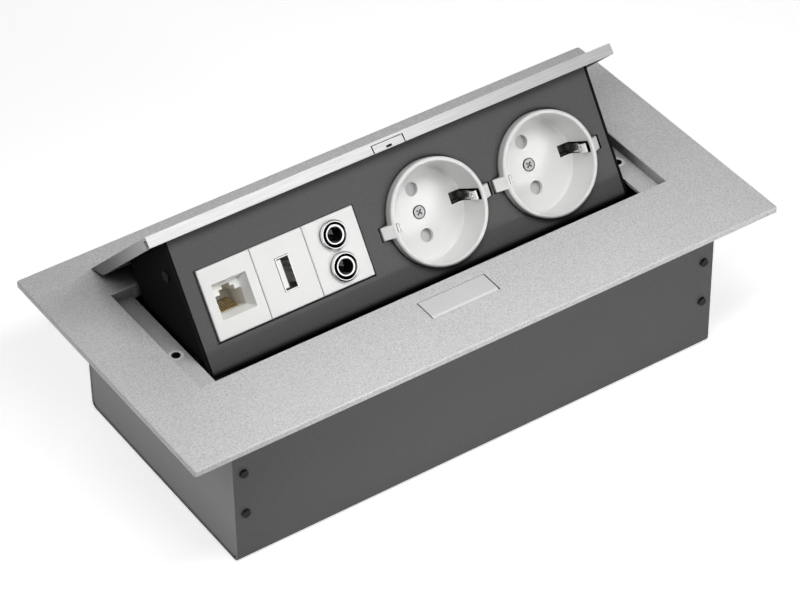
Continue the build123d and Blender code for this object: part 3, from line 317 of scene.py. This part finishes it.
def from_middle(tree, points):
    """How far the point lies from the middle of others, across and up the open panel, in metres."""
    aside = calc(tree, "SUBTRACT", along(tree, across), middle(points, across))
    rise = calc(tree, "SUBTRACT", along(tree, panel_up), middle(points, panel_up))
    return aside, rise


def in_clip_slot_shade(tree, insert, screw):
    """Painted shade: 1 inside the two slots that hold a socket's earth clips, 0 elsewhere on its insert."""
    aside, rise = from_middle(tree, screw)
    aside = calc(tree, "ABSOLUTE", aside)
    ring_top = span(insert, panel_out)[1]
    return product(
        tree,
        calc(tree, "GREATER_THAN", aside, slot_start),
        calc(tree, "LESS_THAN", aside, slot_end),
        calc(tree, "LESS_THAN", calc(tree, "ABSOLUTE", rise), slot_half_width),
        calc(tree, "LESS_THAN", along(tree, panel_out), ring_top - slot_drop),
    )


def in_dish_shade(tree, jack):
    """Painted shade: 1 on the left and lower side of a jack's dish, which the photo shows dark, 0
    elsewhere.
    """
    aside, rise = from_middle(tree, jack)
    radius = distance(tree, aside, rise)
    toward = calc(tree, "MULTIPLY_ADD", aside, dish_aside, product(tree, rise, dish_rise))
    return product(
        tree,
        calc(tree, "GREATER_THAN", radius, dish_start),
        calc(tree, "LESS_THAN", radius, dish_end),
        eased(tree, calc(tree, "DIVIDE", toward, radius), -dish_soft, dish_soft),
    )


def up_the_lid(tree):
    """0 at the lid's low rear edge and 1 at its raised front edge."""
    low, high = span(points_of("lid"), strip_faces)
    return calc(tree, "DIVIDE", calc(tree, "SUBTRACT", along(tree, strip_faces), low), high - low)


# Surface steps

def noise(tree, where, scale, detail=2.0, roughness=0.5):
    """Noise of about 1 / scale metres."""
    node = tree.nodes.new("ShaderNodeTexNoise")
    node.inputs["Scale"].default_value = scale
    node.inputs["Detail"].default_value = detail
    node.inputs["Roughness"].default_value = roughness
    tree.links.new(where, node.inputs["Vector"])
    return node.outputs["Fac"]


def rounded(tree, radius):
    """The surface's direction, turned over a small radius at each edge."""
    node = tree.nodes.new("ShaderNodeBevel")
    node.samples = 4
    node.inputs["Radius"].default_value = radius
    return node.outputs["Normal"]


def edge_share(tree, soft_normal, gain):
    """1 on an edge and 0 away from it, from how far the rounding turns the surface."""
    geometry = tree.nodes.new("ShaderNodeNewGeometry")
    turned = rest_of(tree, dot(tree, soft_normal, geometry.outputs["Normal"]))
    share = product(tree, turned, gain)
    share.node.use_clamp = True
    return share


def openness(tree, reach):
    """1 on an open surface and 0 deep in a gap, judged over a short reach in metres."""
    node = tree.nodes.new("ShaderNodeAmbientOcclusion")
    node.samples = 6
    node.inputs["Distance"].default_value = reach
    return node.outputs["AO"]


def gap_shade(tree, reach, closed, clear, deepest):
    """Painted shade: 1 in the open, falling to the deepest value where other surfaces close the place in.
    """
    return eased(tree, openness(tree, reach), closed, clear, deepest)


def shaded(tree, shader, skin, share, gloss):
    """Gives the shader its colour and gloss, both darkened with painted shade where the share is low."""
    tree.links.new(mixed(tree, share, grey(0.0), skin), shader.inputs["Base Color"])
    tree.links.new(product(tree, share, gloss), shader.inputs["Specular IOR Level"])


def uneven_roughness(tree, shader, level, fine, fine_swing, cloud, cloud_swing):
    """A roughness that varies round a level with two noises, each within its own swing."""
    low, high = fine_swing
    near = spread(tree, fine, level + low, level + high)
    rough = calc(tree, "ADD", near, spread(tree, cloud, *cloud_swing))
    tree.links.new(rough, shader.inputs["Roughness"])


def bump(tree, shader, height, depth, strength, normal=None):
    """Relief on the surface, with its depth in metres."""
    node = tree.nodes.new("ShaderNodeBump")
    node.inputs["Distance"].default_value = depth
    node.inputs["Strength"].default_value = strength
    tree.links.new(height, node.inputs["Height"])
    if normal is not None:
        tree.links.new(normal, node.inputs["Normal"])
    tree.links.new(node.outputs["Normal"], shader.inputs["Normal"])


# Finishes

def machine_screw(name, level, rim, rim_width):
    """A screw head: a near-black middle, its black finish with painted shade for a drive recess, and the
    paint of the sheet over its rim.
    """
    material, tree, shader = graph(name)
    grain = noise(tree, place(tree), scale=1500.0, detail=3.0)
    share = edge_share(tree, rounded(tree, rim_width), gain=5.0)
    head = two_tone(tree, grain, level * 0.8, level)
    # The near-black middle is the screw's black finish, with painted shade for a drive recess
    tree.links.new(mixed(tree, share, head, grey(rim)), shader.inputs["Base Color"])
    tree.links.new(spread(tree, grain, low=0.4, high=0.5), shader.inputs["Roughness"])
    shader.inputs["Specular IOR Level"].default_value = 0.15
    bump(tree, shader, grain, depth=0.02 * MM, strength=0.3)
    return material


def rimmed_screw(name, heads, recess_shade_radius):
    """Two countersunk heads, one at each end of the part: a bright rim, and a middle painted near black as
    shade of its drive recess.
    """
    material, tree, shader = graph(name)
    right_head = [point for point in heads if point.x > 0]
    backward = Vector((0, 1, 0))
    from_centre = calc(tree, "ABSOLUTE", along(tree, across))
    aside = calc(tree, "SUBTRACT", from_centre, middle(right_head, across))
    rise = calc(tree, "SUBTRACT", along(tree, backward), middle(right_head, backward))
    # Painted shade: each head's middle is near black, without gloss, for its drive recess
    inside = calc(tree, "LESS_THAN", distance(tree, aside, rise), recess_shade_radius)
    outside = rest_of(tree, inside)
    grain = noise(tree, place(tree), scale=900.0, detail=3.0)
    rim = two_tone(tree, grain, 0.82, 0.95)
    tree.links.new(mixed(tree, inside, rim, grey(0.006)), shader.inputs["Base Color"])
    tree.links.new(spread(tree, grain, low=0.25, high=0.35), shader.inputs["Roughness"])
    tree.links.new(product(tree, outside, full_gloss), shader.inputs["Specular IOR Level"])
    tree.links.new(product(tree, outside, 0.2), shader.inputs["Metallic"])
    bump(tree, shader, grain, depth=0.01 * MM, strength=0.3)
    return material


def blasted_aluminium(name, shade, dark, grain=speckle_scale, reach=30.0):
    """Sand-blasted, anodised aluminium: a fine speckle, a soft sheen, a painted highlight on its edges and
    painted shade in its gaps.
    """
    material, tree, shader = graph(name)
    where = place(tree)
    soft = rounded(tree, 0.35 * MM)
    speckle = noise(tree, where, grain, detail=5.0, roughness=0.8)
    cloud = noise(tree, where, scale=22.0, detail=3.0)
    grains = speckled(tree, speckle, dark, shade, min(1.0, shade * 1.27))
    skin = multiplied(tree, grains, two_tone(tree, cloud, 0.95, 1.0))
    # Painted highlight: the colour is lightened along every edge
    skin = mixed(tree, edge_share(tree, soft, gain=2.5), skin, grey(0.9))
    # Painted shade: colour and gloss darken where other surfaces close the place in
    shaded(tree, shader, skin, gap_shade(tree, reach * MM, *frame_gap_shade), full_gloss)
    tree.links.new(spread(tree, speckle, *satin_roughness), shader.inputs["Roughness"])
    shader.inputs["Metallic"].default_value = 0.12
    bump(tree, shader, speckle, depth=0.02 * MM, strength=0.35, normal=soft)
    return material


def lid_finish(name, shade, strip):
    """The lid: blasted like the frame, its front strip brushed, its ends with painted shade that deepens
    toward the rear as in the photo.
    """
    material, tree, shader = graph(name)
    soft = rounded(tree, 0.3 * MM)
    speckle = noise(tree, place(tree), speckle_scale, detail=5.0, roughness=0.8)
    lines = noise(tree, place(tree, (1, 60, 60)), scale=60.0, detail=4.0, roughness=0.65)
    front = faces_along(tree, strip_faces, *nearly_square)
    left_end = faces_along(tree, -across, *nearly_square)
    right_end = faces_along(tree, across, *nearly_square)
    grains = speckled(tree, speckle, shade * 0.7, shade, shade * 1.2)
    strokes = two_tone(tree, lines, strip * 0.86, strip * 1.12, start=0.35)
    streaks = two_tone(tree, lines, 0.88, 1.0, start=0.35)
    # Painted shade on the ends: darker toward the low rear edge, lighter toward the raised front edge
    end_shade_skin = multiplied(tree, ramp(tree, up_the_lid(tree), lid_end_shade_tones), streaks)
    skin = mixed(tree, front, grains, strokes)
    skin = mixed(tree, calc(tree, "ADD", left_end, right_end), skin, end_shade_skin)
    # Painted highlight: the colour is lightened along every edge
    skin = mixed(tree, edge_share(tree, soft, gain=2.5), skin, grey(0.85))
    # Painted shade: colour and gloss darken in narrow gaps
    shaded(tree, shader, skin, gap_shade(tree, 1.6 * MM, *lid_gap_shade), full_gloss)
    blasted = product(tree, spread(tree, speckle, *satin_roughness), rest_of(tree, front))
    brushed = product(tree, spread(tree, lines, low=0.3, high=0.45), front)
    tree.links.new(calc(tree, "ADD", blasted, brushed), shader.inputs["Roughness"])
    shader.inputs["Metallic"].default_value = 0.25
    relief = mixed(tree, front, speckle, lines)
    bump(tree, shader, relief, depth=0.015 * MM, strength=0.35, normal=soft)
    return material


def powder_coat(name, colour, roughness, gloss=0.35, reach=4.0, painted_bend_shade=False):
    """Powder-coated steel: fine orange peel, edges paler as a painted highlight, and painted shade in its
    gaps.

    With its bend flag, faces that look down the open panel get painted shade, as in the photo.
    """
    material, tree, shader = graph(name)
    where = place(tree)
    soft = rounded(tree, 0.3 * MM)
    peel = noise(tree, where, scale=1500.0, detail=3.0, roughness=0.55)
    cloud = noise(tree, where, scale=14.0, detail=3.0)
    tone = two_tone(tree, peel, scaled(colour, 0.9), scaled(colour, 1.12))
    skin = multiplied(tree, tone, two_tone(tree, cloud, 0.92, 1.0))
    # Painted highlight: the coat is paler along every edge
    skin = mixed(tree, edge_share(tree, soft, gain=2.0), skin, scaled(colour, 1.6))
    # Painted shade: colour and gloss darken in gaps
    share = gap_shade(tree, reach * MM, *coat_gap_shade)
    # Painted shade on faces that look down the open panel
    if painted_bend_shade:
        down = faces_along(tree, -panel_up, *panel_bend_facing)
        share = product(tree, share, rest_of(tree, product(tree, down, panel_bend_shade)))
    shaded(tree, shader, skin, share, gloss)
    uneven_roughness(tree, shader, roughness, peel, (-0.05, 0.05), cloud, (-0.04, 0.05))
    bump(tree, shader, peel, depth=0.03 * MM, strength=0.35, normal=soft)
    return material


def moulded_plastic(
    name, colour, roughness, grain=900.0, depth=0.012, scatter=0.0, reach=1.8, slots=None
):
    """Moulded plastic: a fine spark-eroded grain, slight changes of tone, and painted shade in its gaps.

    With slots, the points of a socket's insert and screw, its clip slots get painted shade.
    """
    material, tree, shader = graph(name)
    where = place(tree)
    fine = noise(tree, where, grain, detail=3.0)
    cloud = noise(tree, where, scale=40.0)
    skin = two_tone(tree, cloud, scaled(colour, 0.97), colour)
    # Painted shade: colour darkens in gaps
    share = gap_shade(tree, reach * MM, *plastic_gap_shade)
    shader.inputs["Subsurface Weight"].default_value = scatter
    shader.inputs["Subsurface Radius"].default_value = (1.0, 0.9, 0.8)
    shader.inputs["Subsurface Scale"].default_value = 0.6 * MM
    # Painted shade in the clip slots: colour, gloss and scatter are taken out there
    if slots is not None:
        clear = rest_of(tree, in_clip_slot_shade(tree, *slots))
        share = product(tree, share, clear)
        tree.links.new(product(tree, clear, full_gloss), shader.inputs["Specular IOR Level"])
        tree.links.new(product(tree, clear, scatter), shader.inputs["Subsurface Weight"])
    tree.links.new(mixed(tree, share, grey(0.01), skin), shader.inputs["Base Color"])
    uneven_roughness(tree, shader, roughness, fine, (-0.04, 0.04), cloud, (-0.03, 0.03))
    bump(tree, shader, fine, depth * MM, strength=0.4, normal=rounded(tree, 0.25 * MM))
    return material


def plated_metal(
    name, colour, roughness, metallic=1.0, wear=0.08, reach=1.5, deep=0.25, clear=0.75, dish=None
):
    """Plated metal: small scratches, a slightly uneven polish, and painted shade in its recesses.

    With dish, the points of an audio jack, one side of its dish gets painted shade as in the photo.
    """
    material, tree, shader = graph(name)
    cloud = noise(tree, place(tree), scale=120.0, detail=3.0)
    scratch = noise(tree, place(tree, (1, 9, 3)), scale=700.0, detail=4.0, roughness=0.7)
    plate = two_tone(tree, cloud, scaled(colour, 1 - wear), colour)
    # Painted shade: colour darkens in recesses
    shade = ramp(tree, openness(tree, reach * MM), [(clear - 0.5, deep), (clear, 1.0)])
    skin = multiplied(tree, plate, shade)
    # Painted shade on one side of a jack's dish
    if dish is not None:
        skin = mixed(tree, in_dish_shade(tree, dish), skin, grey(0.01))
    tree.links.new(skin, shader.inputs["Base Color"])
    uneven_roughness(tree, shader, roughness, scratch, (-0.04, 0.05), cloud, (-0.02, 0.04))
    shader.inputs["Metallic"].default_value = metallic
    bump(tree, shader, scratch, depth=0.004 * MM, strength=0.3)
    return material


frame_metal = blasted_aluminium("frame_blasted", 0.63, 0.41)
lid_metal = lid_finish("lid_metal", 0.56, 0.50)
button_metal = blasted_aluminium("button_blasted", 0.66, 0.55, grain=3200.0, reach=1.0)
coat = powder_coat("box_coat", coat_colour, 0.46)
panel_coat = powder_coat("panel_coat", coat_colour, 0.42, reach=9.0, painted_bend_shade=True)
# The side plates: a dark coat, made near black and almost without gloss as painted shade for the shade they
# sit in
side_shade_coat = powder_coat("side_shade_coat", grey(0.007), 0.6, gloss=0.03)
black_screw_recess_shade = machine_screw("black_screw_recess_shade", 0.006, 0.055, 0.38 * MM)
# Painted shade: the side screws' rims are as dark as the side plates
side_screw = machine_screw("side_screw", 0.006, 0.012, 0.3 * MM)
zinc = plated_metal("zinc_plate", (0.62, 0.63, 0.65), 0.3)
bright_screw = rimmed_screw("bright_screw", points_of("frame_screws"), ledge_screw_recess_shade)
socket_screw = plated_metal(
    "socket_screw", grey(0.42), 0.3, metallic=0.5, reach=1.4, deep=0.01, clear=0.95
)
spring_metal = plated_metal("spring_wire", (0.52, 0.52, 0.53), 0.28)
white = moulded_plastic("white_plastic", white_colour, white_roughness, scatter=white_scatter)
jack_white = moulded_plastic("jack_plastic", (0.80, 0.79, 0.75), 0.35, scatter=0.1, reach=4.5)
shutter_grey = moulded_plastic("grey_plastic", grey(0.60), 0.4)
black = moulded_plastic("black_plastic", grey(0.03), 0.42, depth=0.02)
brass = plated_metal("brass", (0.78, 0.57, 0.26), 0.3)
leaf_metal = plated_metal("leaf_metal", grey(0.95), 0.4, metallic=0.1, deep=0.95)
gold = plated_metal("gold_plate", (0.95, 0.70, 0.32), 0.2, reach=0.8, deep=0.0, clear=0.9)
nickel = plated_metal("nickel_plate", (0.66, 0.65, 0.63), 0.18)
clip_nickel = plated_metal("clip_nickel", (0.62, 0.62, 0.60), 0.2, reach=5.0, deep=0.02)
rubber = moulded_plastic("rubber", grey(0.02), 0.65, grain=1800.0, depth=0.03)

finishes = {
    "flange_frame": frame_metal,
    "frame_screws": bright_screw,
    "housing_shell": coat,
    "end_plate_left": coat,
    "end_plate_right": coat,
    "housing_screws": black_screw_recess_shade,
    "pivot_bracket_left": zinc,
    "pivot_bracket_right": zinc,
    "pivot_bushes": black,
    "bracket_screws": zinc,
    "torsion_spring_left": spring_metal,
    "torsion_spring_right": spring_metal,
    "latch_guide": black,
    "guide_screws": zinc,
    "latch_spring": spring_metal,
    "mains_grommet": rubber,
    "data_grommet": rubber,
    "cord_anchor": black,
    "anchor_screws": zinc,
    "earth_stud": brass,
    "lid": lid_metal,
    "latch_keeper": lid_metal,
    "lid_studs": zinc,
    "stud_nuts": zinc,
    "front_panel": panel_coat,
    "rear_cover": coat,
    "side_plate_left": side_shade_coat,
    "side_plate_right": side_shade_coat,
    "side_screws": side_screw,
    "pivot_pins": zinc,
    "pin_clips": spring_metal,
    "module_support": black,
    "network_plate": white,
    "network_jack": jack_white,
    "network_wires": gold,
    "usb_plate": white,
    "usb_shell": nickel,
    "usb_tongue": white,
    "usb_contacts": nickel,
    "audio_plate": white,
    "audio_body_upper": black,
    "audio_body_lower": black,
    "audio_nuts": nickel,
    "audio_leaves": leaf_metal,
    "release_button": button_metal,
    "latch_bolt": black,
}
for level in ("upper", "lower"):
    jack = f"audio_bushing_{level}"
    finishes[jack] = plated_metal(
        f"chrome_{level}", grey(0.72), 0.14, wear=0.03, reach=2.2, deep=0.02, clear=0.98,
        dish=points_of(jack),
    )
for number in (1, 2):
    socket = f"socket_{number}"
    # Each insert gets painted shade in its clip slots
    finishes[f"{socket}_insert"] = moulded_plastic(
        f"{socket}_plastic", white_colour, white_roughness, scatter=white_scatter,
        slots=(points_of(f"{socket}_insert"), points_of(f"{socket}_screw")),
    )
    finishes[f"{socket}_base"] = black
    finishes[f"{socket}_pin_sleeves"] = brass
    finishes[f"{socket}_earth_clip"] = clip_nickel
    finishes[f"{socket}_screw"] = socket_screw
    finishes[f"{socket}_shutter"] = shutter_grey

for name, piece in nodes.items():
    piece.data.materials.clear()
    piece.data.materials.append(finishes[name])


# Floor, light and background

def area_light(name, position, target, size, power, cone):
    """A soft rectangular lamp, aimed at a point."""
    data = bpy.data.lights.new(name, "AREA")
    data.shape = "RECTANGLE"
    data.size, data.size_y = size
    data.energy = power
    data.spread = radians(cone)
    lamp = bpy.data.objects.new(name, data)
    position, target = Vector(position), Vector(target)
    lamp.location = position
    lamp.rotation_euler = (target - position).to_track_quat("-Z", "Y").to_euler()
    bpy.context.scene.collection.objects.link(lamp)


def seen_directly(tree):
    """1 where the camera sees a thing itself, in a reflection or through glass."""
    path = tree.nodes.new("ShaderNodeLightPath")
    seen = calc(tree, "MAXIMUM", path.outputs["Is Camera Ray"], path.outputs["Is Glossy Ray"])
    return calc(tree, "MAXIMUM", seen, path.outputs["Is Transmission Ray"])


def make_floor():
    """A wide pale floor under the box, with a glow that only the camera and reflections see."""
    half = floor_half
    low = cad_box[0].z
    mesh = bpy.data.meshes.new("floor")
    corners = [(-half, -half, low), (half, -half, low), (half, half, low), (-half, half, low)]
    mesh.from_pydata(corners, [], [(0, 1, 2, 3)])
    floor = bpy.data.objects.new("floor", mesh)
    bpy.context.scene.collection.objects.link(floor)
    material, tree, shader = graph("floor")
    shader.inputs["Base Color"].default_value = (*grey(floor_shade), 1)
    shader.inputs["Roughness"].default_value = floor_roughness
    glow = tree.nodes.new("ShaderNodeEmission")
    glow.inputs["Color"].default_value = (1, 1, 1, 1)
    tree.links.new(product(tree, seen_directly(tree), floor_glow), glow.inputs["Strength"])
    both = tree.nodes.new("ShaderNodeAddShader")
    output = tree.nodes["Material Output"]
    tree.links.new(shader.outputs["BSDF"], both.inputs[0])
    tree.links.new(glow.outputs["Emission"], both.inputs[1])
    tree.links.new(both.outputs["Shader"], output.inputs["Surface"])
    mesh.materials.append(material)


def make_world():
    """Soft light from all round, with a white background for the camera."""
    world = bpy.data.worlds.new("studio")
    bpy.context.scene.world = world
    world.use_nodes = True
    tree = world.node_tree
    soft = tree.nodes["Background"]
    soft.inputs["Color"].default_value = (1, 1, 1, 1)
    soft.inputs["Strength"].default_value = world_light
    white_ground = tree.nodes.new("ShaderNodeBackground")
    white_ground.inputs["Color"].default_value = (1, 1, 1, 1)
    white_ground.inputs["Strength"].default_value = world_white
    choose = tree.nodes.new("ShaderNodeMixShader")
    tree.links.new(seen_directly(tree), choose.inputs["Fac"])
    tree.links.new(soft.outputs["Background"], choose.inputs[1])
    tree.links.new(white_ground.outputs["Background"], choose.inputs[2])
    tree.links.new(choose.outputs["Shader"], tree.nodes["World Output"].inputs["Surface"])


make_camera()
make_floor()
make_world()
for name, lamp in lamps.items():
    area_light(name, *lamp)

bpy.context.scene.view_settings.view_transform = "Standard"
